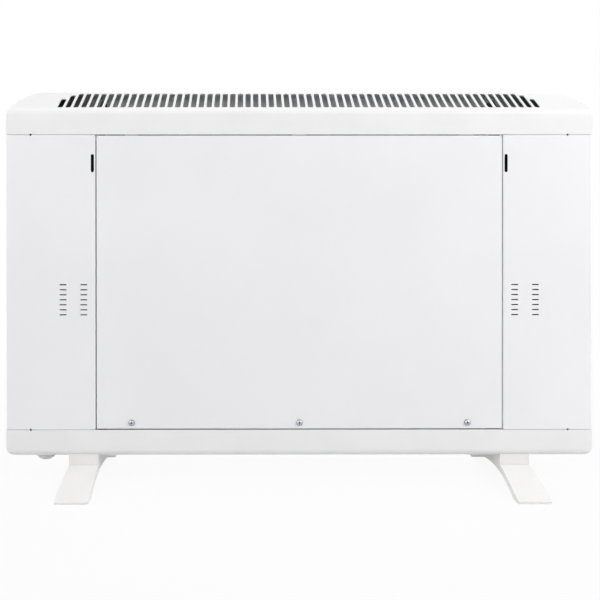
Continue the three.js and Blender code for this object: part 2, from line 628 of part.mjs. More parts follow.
const GLASS_LOW = BOTTOM_SEAM + SEAM / 2;
const GLASS_HIGH = TOP_SEAM - SEAM / 2;
const DISPLAY_GAP = 0.3;
const DISPLAY_TRAY_WALL = 1.6;
const DISPLAY_TRAY_DEPTH = 13;
const DISPLAY_TRAY_MARGIN = 8;
const DISPLAY_CABLE_SLOT = { drop: 10, width: 16, height: 6 };
const BOARD_THICKNESS = 1.6;

function addFrontGlass() {
  const middle = (GLASS_LOW + GLASS_HIGH) / 2;
  const outline = rectangle(0, middle, BODY_WIDTH, GLASS_HIGH - GLASS_LOW, GLASS_CORNER);
  const pane = alongY(outline, -HALF_DEPTH, GLASS_BACK);
  const opening = rectangle(
    DISPLAY_X, DISPLAY_Z, DISPLAY_WIDTH + 2 * DISPLAY_GAP, DISPLAY_HEIGHT + 2 * DISPLAY_GAP, DISPLAY_CORNER);
  addPiece('front_glass', pane.subtract(alongY(opening, -HALF_DEPTH - 1, GLASS_BACK + 1)), WHITE_GLASS);
}

function addDisplay() {
  const window = rectangle(DISPLAY_X, DISPLAY_Z, DISPLAY_WIDTH, DISPLAY_HEIGHT, DISPLAY_CORNER);
  addPiece('display_window', alongY(window, -HALF_DEPTH, GLASS_BACK - 1), DARK_GLASS);

  const front = GLASS_BACK + SEAT_GAP;
  const width = DISPLAY_WIDTH - 2;
  const height = DISPLAY_HEIGHT + 2 * DISPLAY_TRAY_MARGIN;
  const outside = alongY(rectangle(DISPLAY_X, DISPLAY_Z, width, height, 3), front, front + DISPLAY_TRAY_DEPTH);
  const hollow = rectangle(
    DISPLAY_X, DISPLAY_Z, width - 2 * DISPLAY_TRAY_WALL, height - 2 * DISPLAY_TRAY_WALL, 1.5);
  const tray = outside.subtract(alongY(hollow, front - 1, front + DISPLAY_TRAY_DEPTH - DISPLAY_TRAY_WALL));
  const slot = DISPLAY_CABLE_SLOT;
  const cableSlot = rectangle(DISPLAY_X, DISPLAY_Z - slot.drop, slot.width, slot.height, 1);
  addPiece('display_tray', tray.subtract(alongY(cableSlot, front, FAR)), BLACK_PLASTIC);

  const floor = front + DISPLAY_TRAY_DEPTH - DISPLAY_TRAY_WALL;
  const board = rectangle(
    DISPLAY_X, DISPLAY_Z, width - 2 * DISPLAY_TRAY_WALL - 1, height - 2 * DISPLAY_TRAY_WALL - 1, 1);
  const boardSolid = alongY(board, floor - SEAT_GAP - BOARD_THICKNESS, floor - SEAT_GAP);
  addPiece('display_board', boardSolid, CIRCUIT_BOARD);
}

// ---------------------------------------------------------------- chassis and heating chamber

function addFrontFrame() {
  const fold = FOLD_DEPTH;
  const [low, high] = [GLASS_LOW + 1, GLASS_HIGH - 1];
  const path = [
    [CHASSIS_FRONT + fold, high],
    [CHASSIS_FRONT, high],
    [CHASSIS_FRONT, low],
    [CHASSIS_FRONT + fold, low],
  ];
  const end = PARTITION_X - SEAT_GAP;
  addPiece('front_frame', alongX(bentSheet(path, CHASSIS_SHEET), -end, end), GALVANISED);
}

const SHIELD_FRONT = -HALF_DEPTH + SHIELD_OFFSET;
const SHIELD_RISE = 14; // lower seam to the lower edge of the shield
const SHIELD_OVERREACH = 22; // upper seam to its upper edge
const BEAD_COUNT = 3;
const BEAD_DEPTH = 3;
const BEAD_WIDTH = 16;

// A sheet with upright stiffening beads, folded back against the chamber's end plates.
function addHeatShield() {
  const end = PARTITION_X - SEAT_GAP;
  const beads = Array.from({ length: BEAD_COUNT }, (_, i) => {
    const x = ((i + 1) / (BEAD_COUNT + 1) - 0.5) * 2 * end;
    const half = BEAD_WIDTH / 2;
    return [
      [x - half, SHIELD_FRONT],
      [x - half + BEAD_DEPTH, SHIELD_FRONT - BEAD_DEPTH],
      [x + half - BEAD_DEPTH, SHIELD_FRONT - BEAD_DEPTH],
      [x + half, SHIELD_FRONT],
    ];
  });
  const path = [
    [-end, SHIELD_FRONT + SHIELD_FLANGE],
    [-end, SHIELD_FRONT],
    ...beads.flat(),
    [end, SHIELD_FRONT],
    [end, SHIELD_FRONT + SHIELD_FLANGE],
  ];
  const shield = alongZ(bentSheet(path, CHASSIS_SHEET), BOTTOM_SEAM + SHIELD_RISE, TOP_SEAM + SHIELD_OVERREACH);
  addPiece('heat_shield', shield, GALVANISED);
}

const PARTITION_CORNER = 6;
const LEAD_HOLE = { y: -16, rise: 175, radius: 6 };
const ELEMENT_PLACES = ELEMENT_HEIGHTS.map((height, i) => ({
  z: UNDERSIDE + height,
  name: ['lower', 'upper'][i],
}));

// An end plate of the heating chamber. Its upper edge follows the slope of the top cap, and is level in front.
function addPartition(name, side) {
  const clear = CAP_WALL + 2 * SEAT_GAP;
  const [low, high] = [CAP_FLOOR + SEAT_GAP, TOTAL_HEIGHT - PARTITION_DROP];
  const upright = [
    [PARTITION_FRONT, low, PARTITION_CORNER],
    [PARTITION_BACK, low, PARTITION_CORNER],
    [PARTITION_BACK, high],
    [PARTITION_FRONT, high],
  ];
  const [near, far] = [PARTITION_X, PARTITION_X + CHASSIS_SHEET].map((x) => x * side).sort((a, b) => a - b);
  const plate = alongX(upright, near, far).intersect(alongX(inset(CASING_SIDE, clear), near - 1, far + 1));
  const backFlange = rectangle(
    PARTITION_X + PARTITION_FLANGE / 2, PARTITION_BACK - CHASSIS_SHEET / 2, PARTITION_FLANGE, CHASSIS_SHEET);
  const frontFlange = rectangle(
    PARTITION_X + PARTITION_FLANGE / 2, PARTITION_FRONT + CHASSIS_SHEET / 2, PARTITION_FLANGE, CHASSIS_SHEET);
  const flangeLow = BOTTOM_SEAM + TONGUE_HEIGHT + 4;
  const flangeHigh = HANG_SLOT_Z - HANG_SLOT_HEIGHT / 2 - FLANGE_CLEARANCE;
  const flanges = [backFlange, frontFlange].map((corners) =>
    alongZ(mirrored(corners, side), flangeLow, flangeHigh));
  const elementHoles = ELEMENT_PLACES.map(({ z }) =>
    rod([0, ELEMENT_DEPTH, z], X, near - 1, far + 1, INSULATOR_RADIUS + SEAT_GAP, 20));
  const leadPlace = [0, LEAD_HOLE.y, UNDERSIDE + LEAD_HOLE.rise];
  const leadHole = rod(leadPlace, X, near - 1, far + 1, LEAD_HOLE.radius, 16);
  addPiece(name, cut(join(plate, ...flanges), ...elementHoles, leadHole), BLACK_PAINT);
}

// The section of a finned element: a tube with four long fins in an X and short ones above and below.
function finnedOutline(z) {
  const fins = [
    { angle: FIN_ANGLE, length: FIN_LENGTH },
    { angle: Math.PI / 2, length: FIN_LENGTH * 0.55 },
    { angle: Math.PI - FIN_ANGLE, length: FIN_LENGTH },
    { angle: Math.PI + FIN_ANGLE, length: FIN_LENGTH },
    { angle: 1.5 * Math.PI, length: FIN_LENGTH * 0.55 },
    { angle: 2 * Math.PI - FIN_ANGLE, length: FIN_LENGTH },
  ];
  const half = FIN_THICKNESS / 2;
  const root = Math.sqrt(ELEMENT_TUBE_RADIUS ** 2 - half ** 2);
  return fins.flatMap(({ angle, length }) => {
    const along = new THREE.Vector2(Math.cos(angle), Math.sin(angle));
    const across = new THREE.Vector2(-along.y, along.x);
    const point = (reach, offset) => {
      const place = along.clone().multiplyScalar(reach).addScaledVector(across, offset);
      return [ELEMENT_DEPTH + place.x, z + place.y];
    };
    return [point(root, -half), point(length, -half), point(length, half), point(root, half)];
  });
}

function addHeatingElements() {
  const end = PARTITION_X - ELEMENT_END_GAP;
  for (const { z, name } of ELEMENT_PLACES) {
    const fins = alongX(finnedOutline(z), -end, end);
    const bore = rod([0, ELEMENT_DEPTH, z], X, -end - 1, end + 1, ELEMENT_BORE_RADIUS, 12);
    addPiece(`heating_element_${name}`, fins.subtract(bore), ALUMINIUM);
  }
}

// Ceramic sleeves carry the elements in the end plates, and threaded rods lead the current through them.
function addElementEnds() {
  const finEnd = PARTITION_X - ELEMENT_END_GAP;
  const bore = TERMINAL_ROD_RADIUS + SEAT_GAP;
  const sleeve = [
    [bore, finEnd + SEAT_GAP],
    [INSULATOR_COLLAR_RADIUS, finEnd + SEAT_GAP],
    [INSULATOR_COLLAR_RADIUS, PARTITION_X - SEAT_GAP],
    [INSULATOR_RADIUS, PARTITION_X - SEAT_GAP],
    [INSULATOR_RADIUS, PARTITION_X + 7],
    [bore, PARTITION_X + 7],
    [bore, finEnd + SEAT_GAP],
  ];
  for (const { z, name } of ELEMENT_PLACES) {
    for (const [hand, side] of Object.entries(SIDES)) {
      const axis = X.clone().multiplyScalar(side);
      const origin = [0, ELEMENT_DEPTH, z];
      addPiece(`element_sleeve_${name}_${hand}`, turned(sleeve, origin, axis, 16), CERAMIC);
      const terminal = rod(origin, axis, finEnd - 20, PARTITION_X + 17, TERMINAL_ROD_RADIUS, 12);
      addPiece(`element_terminal_${name}_${hand}`, terminal, ZINC);
    }
  }
}

const CUTOUT_RISE = 56; // upper element to the bracket
const CUTOUT_NECK_RADIUS = 5; // the sensing face, which pokes through the bracket
const CUTOUT_NECK_LENGTH = 4;
const CUTOUT_RADIUS = 8.5;
const CUTOUT_HEIGHT = 9;
const CUTOUT_BLADE = { offset: 4, width: 6, thickness: 0.8, height: 10 };
const BRACKET_WIDTH = 20;
const BRACKET_REACH = 34;
const BRACKET_HEIGHT = 16;

function addThermalCutout() {
  const z = ELEMENT_PLACES.at(-1).z + CUTOUT_RISE;
  const wall = PARTITION_X - SEAT_GAP;
  const half = BRACKET_WIDTH / 2;
  const x = wall - BRACKET_REACH + half;
  const path = [[wall - BRACKET_REACH, z], [wall, z], [wall, z + BRACKET_HEIGHT]];
  const hole = rod([x, ELEMENT_DEPTH, z], Z, -1, CHASSIS_SHEET + 1, CUTOUT_NECK_RADIUS + SEAT_GAP, 16);
  const sheet = alongY(bentSheet(path, CHASSIS_SHEET), ELEMENT_DEPTH - half, ELEMENT_DEPTH + half);
  addPiece('cutout_bracket', sheet.subtract(hole), GALVANISED);

  const seat = z + CHASSIS_SHEET + SEAT_GAP;
  const top = seat + CUTOUT_HEIGHT;
  const profile = [
    [0, z - CUTOUT_NECK_LENGTH],
    [CUTOUT_NECK_RADIUS, z - CUTOUT_NECK_LENGTH],
    [CUTOUT_NECK_RADIUS, seat],
    [CUTOUT_RADIUS, seat],
    [CUTOUT_RADIUS, top - 3],
    [CUTOUT_RADIUS - 1, top],
    [0, top],
  ];
  const { offset, width, thickness, height } = CUTOUT_BLADE;
  const blades = [-1, 1].map((side) => {
    const outline = rectangle(ELEMENT_DEPTH + side * offset, top - 1 + height / 2, thickness, height + 2);
    return alongX(outline, x - width / 2, x + width / 2);
  });
  addPiece('thermal_cutout', join(turned(profile, [x, ELEMENT_DEPTH, 0], Z, 20), ...blades), BLACK_PLASTIC);
}

// ---------------------------------------------------------------- electrical compartment

const BOARD_WIDTH = 54;
const BOARD_HEIGHT = 112;
const BOARD_RISE = 172; // underside of the casing to the lower edge of the board
const STANDOFF_HEIGHT = 7;
const STANDOFF_RADIUS = 3;
const STANDOFF_INSET = 5;
const RELAY = { y: -12, rises: [26, 62], width: 19, height: 29, depth: 26 };
const TRANSFORMER = { y: 14, rise: 54, width: 20, height: 30, depth: 21 };
const CAPACITOR = { y: 14, rise: 84, radius: 6.5, depth: 18.5 };

// The board stands on four pillars off the outer side of a chamber end plate, and carries its parts outwards.
function addControlBoard() {
  const wall = PARTITION_X + CHASSIS_SHEET + SEAT_GAP;
  const face = wall + STANDOFF_HEIGHT;
  const low = UNDERSIDE + BOARD_RISE;
  const middle = low + BOARD_HEIGHT / 2;
  const standoffs = [-1, 1].flatMap((a) => [-1, 1].map((b) => {
    const place = [0, a * (BOARD_WIDTH / 2 - STANDOFF_INSET), middle + b * (BOARD_HEIGHT / 2 - STANDOFF_INSET)];
    return rod(place, X, wall, face + BOARD_THICKNESS / 2, STANDOFF_RADIUS, 6);
  }));
  const board = alongX(rectangle(0, middle, BOARD_WIDTH, BOARD_HEIGHT, 2), face, face + BOARD_THICKNESS);
  addPiece('control_board', join(board, ...standoffs), CIRCUIT_BOARD);

  const front = face + BOARD_THICKNESS + SEAT_GAP;
  const block = ({ y, width, height, depth }, rise) =>
    alongX(rectangle(y, low + rise, width, height, 1.5), front, front + depth);
  addPiece('relay_lower', block(RELAY, RELAY.rises[0]), BLACK_PLASTIC);
  addPiece('relay_upper', block(RELAY, RELAY.rises[1]), BLACK_PLASTIC);
  addPiece('board_transformer', block(TRANSFORMER, TRANSFORMER.rise), BLACK_PLASTIC);
  const { y, rise, radius, depth } = CAPACITOR;
  const can = [[0, 0], [radius, 0], [radius, depth - 1], [radius - 0.7, depth], [0, depth]];
  addPiece('board_capacitor', turned(can, [front, y, low + rise], X, 16), ALUMINIUM);
}

const TERMINAL_X = HALF_WIDTH - 77;
const TERMINAL_LENGTH = 44;
const TERMINAL_WIDTH = 20;
const TERMINAL_HEIGHT = 17;
const TERMINAL_STEP_WIDTH = 5; // the shoulders, left and right of the raised middle
const TERMINAL_STEP_DEPTH = 6;
const TERMINAL_PITCH = 14;
const TERMINAL_SCREW_WELL = { radius: 3, depth: 12 };
const TERMINAL_WIRE_BORE = { radius: 2, rise: 6 };

function addTerminalBlock() {
  const low = CAP_FLOOR + SEAT_GAP;
  const top = low + TERMINAL_HEIGHT;
  const shoulder = top - TERMINAL_STEP_DEPTH;
  const half = TERMINAL_WIDTH / 2;
  const middle = half - TERMINAL_STEP_WIDTH;
  const section = [
    [-half, low],
    [half, low],
    [half, shoulder],
    [middle, shoulder],
    [middle, top],
    [-middle, top],
    [-middle, shoulder],
    [-half, shoulder],
  ].map(([x, z]) => [TERMINAL_X + x, z]);
  const body = alongY(section, -TERMINAL_LENGTH / 2, TERMINAL_LENGTH / 2);
  const [well, bore] = [TERMINAL_SCREW_WELL, TERMINAL_WIRE_BORE];
  const hollows = [-TERMINAL_PITCH, 0, TERMINAL_PITCH].flatMap((y) => [
    rod([TERMINAL_X, y, top], Z, -well.depth, 1, well.radius, 12),
    rod([TERMINAL_X, y, low + bore.rise], X, -half - 1, half + 1, bore.radius, 12),
  ]);
  addPiece('terminal_block', cut(body, ...hollows), CERAMIC);
}

const GLAND_COLLAR = { radius: 12, height: 4.2 };
const GLAND_TOP = 5; // the thread ends this far above the collar
const GLAND_NUT_FLOOR = 4;
const GLAND_GROOVE_RADIUS = 1.1;

// The gland's threaded body passes through the underside. Its ribbed nut is below, and has no cable in it.
function addCableGland() {
  const low = UNDERSIDE - GLAND_NUT_DROP + GLAND_NUT_FLOOR;
  const seat = CAP_FLOOR + SEAT_GAP;
  const collarTop = seat + GLAND_COLLAR.height;
  const body = [
    [GLAND_CABLE_RADIUS, low],
    [GLAND_THREAD_RADIUS, low],
    [GLAND_THREAD_RADIUS, seat],
    [GLAND_COLLAR.radius, seat],
    [GLAND_COLLAR.radius, collarTop],
    [GLAND_THREAD_RADIUS, collarTop],
    [GLAND_THREAD_RADIUS, collarTop + GLAND_TOP],
    [GLAND_CABLE_RADIUS, collarTop + GLAND_TOP],
    [GLAND_CABLE_RADIUS, low],
  ];
  addPiece('gland_body', turned(body, [GLAND_X, 0, 0], Z, 16), BLACK_PLASTIC);

  const bottom = UNDERSIDE - GLAND_NUT_DROP;
  const top = UNDERSIDE - SEAT_GAP;
  const mouth = GLAND_THREAD_RADIUS + SEAT_GAP;
  const nut = [
    [GLAND_CABLE_RADIUS, bottom],
    [GLAND_NUT_RADIUS * 0.55, bottom],
    [GLAND_NUT_RADIUS * 0.84, bottom + GLAND_NUT_DROP * 0.18],
    [GLAND_NUT_RADIUS, bottom + GLAND_NUT_DROP * 0.45],
    [GLAND_NUT_RADIUS, top],
    [mouth, top],
    [mouth, low - SEAT_GAP],
    [GLAND_CABLE_RADIUS, low - SEAT_GAP],
    [GLAND_CABLE_RADIUS, bottom],
  ];
  const grooves = Array.from({ length: GLAND_GROOVES }, (_, i) => {
    const angle = (i * 2 * Math.PI) / GLAND_GROOVES;
    const place = [GLAND_X + GLAND_NUT_RADIUS * Math.cos(angle), GLAND_NUT_RADIUS * Math.sin(angle), 0];
    return rod(place, Z, bottom + 1, UNDERSIDE - 1.5, GLAND_GROOVE_RADIUS, 5);
  });
  addPiece('gland_nut', cut(turned(nut, [GLAND_X, 0, 0], Z), ...grooves), WHITE_PLASTIC);
}

// ---------------------------------------------------------------- power rocker

const BEZEL_THICKNESS = 1.4;
const SWITCH_DEPTH = 24;
const SWITCH_WALL = 1.6;
const SWITCH_WELL = 15.5; // depth of the hollow that the rocker turns in
const SWITCH_BLADE = { pitch: 8, width: 6.3, thickness: 0.8, length: 9 };
const ROCKER_TILT = THREE.MathUtils.degToRad(9); // either way from level
const ROCKER_PIVOT_INSET = 6.9;
const ROCKER_LENGTH = 24;
const ROCKER_WIDTH = 15;
const ROCKER_END_GAP = 0.6;
const ROCKER_DISH = 3.4; // pivot to the middle of the rocker's hollowed face
const ROCKER_EDGE = 5.1; // pivot to the ends of its face
const ROCKER_HEEL = 6.5; // pivot to its inner point
const ROCKER_EDGE_RADIUS = 0.8;
const TRUNNION_RADIUS = 1.6;

// The housing's flange lies flush in the end wall, and the rocker turns on trunnions in its side walls.
function addSwitchHousing() {
  const face = HALF_WIDTH;
  const [wellWidth, wellHeight] = [ROCKER_WIDTH + 2 * SEAT_GAP, ROCKER_LENGTH + 2 * ROCKER_END_GAP];
  const [boxWidth, boxHeight] = [wellWidth, wellHeight].map((size) => size + 2 * SWITCH_WALL);
  const bezel = rectangle(0, SWITCH_Z, BEZEL_WIDTH, BEZEL_HEIGHT, BEZEL_CORNER);
  const flange = alongX(bezel, face - BEZEL_THICKNESS, face);
  const boxOutline = rectangle(0, SWITCH_Z, boxWidth, boxHeight, 1);
  const box = alongX(boxOutline, face - SWITCH_DEPTH, face - BEZEL_THICKNESS / 2);
  const well = alongX(rectangle(0, SWITCH_Z, wellWidth, wellHeight), face - SWITCH_WELL, face + 1);
  const pivot = [face - ROCKER_PIVOT_INSET, 0, SWITCH_Z];
  const sockets = rod(pivot, Y, -boxWidth, boxWidth, TRUNNION_RADIUS + SEAT_GAP, 16);
  const { pitch, width, thickness, length } = SWITCH_BLADE;
  const back = face - SWITCH_DEPTH;
  const blades = [-pitch, 0, pitch].map((rise) =>
    alongX(rectangle(0, SWITCH_Z + rise, width, thickness), back - length, back + 1));
  addPiece('switch_housing', join(cut(join(flange, box), well, sockets), ...blades), BLACK_PLASTIC);
}

function addRocker() {
  const half = ROCKER_LENGTH / 2;
  const outline = [
    [-ROCKER_EDGE, -half * 0.8],
    [0, -half, ROCKER_EDGE_RADIUS],
    [ROCKER_EDGE, -half, ROCKER_EDGE_RADIUS],
    [ROCKER_DISH, 0, 30],
    [ROCKER_EDGE, half, ROCKER_EDGE_RADIUS],
    [0, half, ROCKER_EDGE_RADIUS],
    [-ROCKER_EDGE, half * 0.8],
    [-ROCKER_HEEL, 0],
  ];
  const level = alongY(outline, -ROCKER_WIDTH / 2, ROCKER_WIDTH / 2);
  const reach = ROCKER_WIDTH / 2 + SEAT_GAP + SWITCH_WALL * 0.75;
  const rocker = join(level, rod([0, 0, 0], Y, -reach, reach, TRUNNION_RADIUS, 16));
  const mesh = addPiece('power_rocker', rocker, BLACK_PLASTIC);
  mesh.position.set(HALF_WIDTH - ROCKER_PIVOT_INSET, 0, SWITCH_Z);
  mesh.rotation.y = -ROCKER_TILT;
}

// ---------------------------------------------------------------- tip-over switch

const TIP_X = -HALF_WIDTH + 62;
const TIP_WIDTH = 24;
const TIP_DEPTH = 40;
const TIP_HEIGHT = 46;
const TIP_WALL = 1.8;
const TIP_PIVOT_DROP = 9; // top of the housing to the axle
const BOB_RADIUS = 7;
const BOB_WIDTH = 11;
const PENDULUM_LENGTH = 20;
const PENDULUM_ARM = 5;
const PENDULUM_EYE_RADIUS = 4;
const AXLE_RADIUS = 1.5;
const AXLE_PLAY = 0.2;

// A weight hangs on an axle inside a small box, and swings over as the heater falls forwards or backwards.
function addTipSwitch() {
  const low = CAP_FLOOR + SEAT_GAP;
  const middle = low + TIP_HEIGHT / 2;
  const [left, right] = [TIP_X - TIP_WIDTH / 2, TIP_X + TIP_WIDTH / 2];
  const [lidLeft, lidRight] = [right + SEAT_GAP, right + SEAT_GAP + TIP_WALL];
  const pivot = [0, 0, low + TIP_HEIGHT - TIP_PIVOT_DROP];
  const outline = rectangle(0, middle, TIP_DEPTH, TIP_HEIGHT, 2);
  const inside = rectangle(0, middle, TIP_DEPTH - 2 * TIP_WALL, TIP_HEIGHT - 2 * TIP_WALL, 1);
  const well = alongX(inside, left + TIP_WALL, right + 1);
  const socket = rod(pivot, X, left - 1, lidRight + 1, AXLE_RADIUS + SEAT_GAP, 12);
  addPiece('tip_switch_housing', cut(alongX(outline, left, right), well, socket), BLACK_PLASTIC);
  addPiece('tip_switch_lid', alongX(outline, lidLeft, lidRight).subtract(socket), BLACK_PLASTIC);
  addPiece('tip_switch_axle', rod(pivot, X, left, lidRight, AXLE_RADIUS, 12), ZINC);

  const bobMiddle = (left + TIP_WALL + right) / 2;
  const [from, to] = [bobMiddle - BOB_WIDTH / 2, bobMiddle + BOB_WIDTH / 2];
  const bobZ = pivot[2] - PENDULUM_LENGTH;
  const bob = rod([0, 0, bobZ], X, from, to, BOB_RADIUS, 20);
  const armWidth = rectangle(0, (pivot[2] + bobZ) / 2, PENDULUM_ARM, PENDULUM_LENGTH);
  const arm = alongX(armWidth, bobMiddle - PENDULUM_ARM / 2, bobMiddle + PENDULUM_ARM / 2);
  const eye = rod(pivot, X, from, to, PENDULUM_EYE_RADIUS, 16);
  const hole = rod(pivot, X, from - 1, to + 1, AXLE_RADIUS + AXLE_PLAY, 16);
  addPiece('tip_switch_pendulum', cut(join(bob, arm, eye), hole), BRASS);
}

// ---------------------------------------------------------------- room temperature sensor

const PROBE_RADIUS = 3;
const PROBE_OFFSET = 11.5; // chamber end plate's face to the probe's axis
const PROBE_Y = 8;
const CLIP_FOOT = { thickness: 3, height: 14 };
const CLIP_ARM = { length: 16, height: 9, width: 8 };

// A small probe in a clip on the chamber's left end plate, level with the air slits.
function addRoomSensor() {
  const wall = PARTITION_X + CHASSIS_SHEET + SEAT_GAP;
  const z = BOTTOM_SEAM + VENT_RISE;
  const [foot, arm] = [CLIP_FOOT.height / 2, CLIP_ARM.height / 2];
  const upperHalf = [
    [wall + CLIP_ARM.length, z + arm, 2],
    [wall + CLIP_FOOT.thickness, z + arm],
    [wall + CLIP_FOOT.thickness, z + foot, 1],
    [wall, z + foot],
  ];
  const lowerHalf = upperHalf.map(([x, height, radius = 0]) => [x, 2 * z - height, radius]).reverse();
  const outline = mirrored([...upperHalf, ...lowerHalf], SIDES.left);
  const place = [-wall - PROBE_OFFSET, PROBE_Y, z];
  const hole = rod(place, Y, -CLIP_ARM.width, CLIP_ARM.width, PROBE_RADIUS + SEAT_GAP, 16);
  const clip = alongY(outline, PROBE_Y - CLIP_ARM.width / 2, PROBE_Y + CLIP_ARM.width / 2);
  addPiece('sensor_clip', clip.subtract(hole), WHITE_PLASTIC);
  const probe = [
    [0, -9],
    [PROBE_RADIUS * 0.6, -9],
    [PROBE_RADIUS, -7.5],
    [PROBE_RADIUS, 9],
    [PROBE_RADIUS * 0.7, 12],
    [0, 12],
  ];
  addPiece('room_sensor', turned(probe, place, Y, 16), BLACK_PLASTIC);
}

// ---------------------------------------------------------------- assembly

addTopCap();
addBottomCap();
for (const [hand, side] of Object.entries(SIDES)) {
  addEndShell(`end_shell_${hand}`, side);
  addPartition(`chamber_plate_${hand}`, side);
  addFoot(`foot_${hand}`, side);
}
addRearPanel();
addFrontGlass();
addDisplay();
addFrontFrame();
addHeatShield();
addHeatingElements();
addElementEnds();
addThermalCutout();
addControlBoard();
addTerminalBlock();
addCableGland();
addSwitchHousing();
addRocker();
addTipSwitch();
addRoomSensor();
addScrews();

export default heater;
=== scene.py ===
# A free-standing convector heater on two arched feet, seen from behind.
# Metres. X runs along the heater, Y from its front (-) to its back (+), Z up from the floor.
import json
import math

import bpy
from mathutils import Matrix, Vector


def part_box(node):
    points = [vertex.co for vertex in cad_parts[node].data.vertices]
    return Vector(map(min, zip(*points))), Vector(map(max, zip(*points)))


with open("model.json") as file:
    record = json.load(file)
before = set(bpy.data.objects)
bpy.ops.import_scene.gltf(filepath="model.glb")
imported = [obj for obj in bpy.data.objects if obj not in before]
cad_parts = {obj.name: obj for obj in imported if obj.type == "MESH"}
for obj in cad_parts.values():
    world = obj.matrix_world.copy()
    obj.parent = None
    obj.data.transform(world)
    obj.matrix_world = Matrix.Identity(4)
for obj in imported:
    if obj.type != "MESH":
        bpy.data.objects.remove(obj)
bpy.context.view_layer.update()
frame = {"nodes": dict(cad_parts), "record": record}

# ---------------------------------------------------------------- nodes

WHITE = (1, 1, 1, 1)
TEXTURE_SPREAD = (0.3, 0.7)  # the texture values at which a roughness or a streak reaches its two ends
MOTTLE_SPREAD = (0.35, 0.65)  # the noise values at which a mottled colour reaches its two ends


class Tree:
    """The nodes of a material or a world, with short ways to make and link them."""

    def __init__(self, owner):
        owner.use_nodes = True
        self.nodes = owner.node_tree.nodes
        self.links = owner.node_tree.links

    def node(self, kind, **settings):
        made = self.nodes.new(kind)
        for name, setting in settings.items():
            setattr(made, name, setting)
        return made

    def feed(self, socket, value):
        """Sets a socket to a constant, or links another node's output to it."""
        if isinstance(value, bpy.types.NodeSocket):
            self.links.new(value, socket)
        else:
            socket.default_value = value

    def calculate(self, operation, *values, **settings):
        """What a Math node makes of its values."""
        made = self.node("ShaderNodeMath", operation=operation, **settings)
        for socket, value in zip(made.inputs, values):
            self.feed(socket, value)
        return made.outputs["Value"]

    def vector(self, operation, *values):
        """What a Vector Math node makes of its values."""
        made = self.node("ShaderNodeVectorMath", operation=operation)
        for socket, value in zip(made.inputs, values):
            self.feed(socket, value)
        return made.outputs["Value" if operation == "LENGTH" else "Vector"]

    def parts(self, vector):
        """The X, Y and Z outputs of a vector."""
        split = self.node("ShaderNodeSeparateXYZ")
        self.feed(split.inputs["Vector"], vector)
        return split.outputs

    def mapped(self, value, source, target=(0, 1), **settings):
        """A value carried over from one range to another, and held at its ends."""
        made = self.node("ShaderNodeMapRange", **settings)
        self.feed(made.inputs["Value"], value)
        for side, ends in (("From", source), ("To", target)):
            for end, limit in zip(("Min", "Max"), ends):
                made.inputs[f"{side} {end}"].default_value = limit
        return made.outputs["Result"]

    def ramp(self, factor, stops, interpolation="LINEAR"):
        """Two colours along a factor. Each of the two stops is a position and a colour."""
        made = self.node("ShaderNodeValToRGB")
        made.color_ramp.interpolation = interpolation
        for element, (position, colour) in zip(made.color_ramp.elements, stops):
            element.position = position
            element.color = colour
        self.feed(made.inputs["Fac"], factor)
        return made.outputs["Color"]

    def shader_mix(self, share, first, second):
        """The first shader where the share is 0, the second where it is 1."""
        made = self.node("ShaderNodeMixShader")
        for socket, value in zip(made.inputs, (share, first.outputs[0], second.outputs[0])):
            self.feed(socket, value)
        return made.outputs[0]


class Surface(Tree):
    """A principled material whose textures are laid out in the object's own metres."""

    def __init__(self, name, **constants):
        self.material = bpy.data.materials.new(name)
        super().__init__(self.material)
        self.inputs = self.nodes["Principled BSDF"].inputs
        for socket, value in constants.items():
            self.inputs[socket.replace("_", " ")].default_value = value
        coordinates = self.node("ShaderNodeTexCoord").outputs
        self.place = coordinates["Object"]
        self.facing = coordinates["Normal"]

    def noise(self, size, detail=2, stretch=(1, 1, 1)):
        """Noise with features of that size in metres."""
        mapping = self.node("ShaderNodeMapping")
        self.feed(mapping.inputs["Vector"], self.place)
        mapping.inputs["Scale"].default_value = stretch
        texture = self.node("ShaderNodeTexNoise")
        texture.inputs["Scale"].default_value = 1 / size
        texture.inputs["Detail"].default_value = detail
        self.feed(texture.inputs["Vector"], mapping.outputs["Vector"])
        return texture.outputs["Fac"]

    def near(self, value, middle, reach):
        """1 where a value is within reach of its middle, 0 elsewhere."""
        return self.calculate("COMPARE", value, middle, reach)

    def mottle(self, first, second, size=0.06):
        """A colour that drifts softly between two near ones."""
        return self.ramp(self.noise(size, detail=3), zip(MOTTLE_SPREAD, (first, second)))

    def colour(self, output):
        self.feed(self.inputs["Base Color"], output)

    def mottled(self, first, second, size=0.06):
        self.colour(self.mottle(first, second, size))

    def rough(self, low, high, size=0.03):
        self.feed(self.inputs["Roughness"], self.mapped(self.noise(size), TEXTURE_SPREAD, (low, high)))

    def bump(self, height, depth, strength):
        made = self.node("ShaderNodeBump")
        made.inputs["Strength"].default_value = strength
        made.inputs["Distance"].default_value = depth
        self.feed(made.inputs["Height"], height)
        self.feed(self.inputs["Normal"], made.outputs["Normal"])

    def grain(self, size, depth, strength, detail=3):
        """A fine bump of that size and depth in metres, as on moulded plastic or sprayed paint."""
        self.bump(self.noise(size, detail), depth, strength)


# ---------------------------------------------------------------- materials

MOULDED_WHITES = ((0.84, 0.84, 0.842, 1), (0.86, 0.86, 0.862, 1))


def moulded_white(name):
    """White plastic that still lacks its colour, and the colour."""
    surface = Surface(name)
    surface.rough(0.38, 0.46)
    surface.grain(size=0.0006, depth=0.00003, strength=0.5)
    return surface, surface.mottle(*MOULDED_WHITES)


def white_plastic():
    surface, white = moulded_white("white_plastic")
    surface.colour(white)
    return surface.material


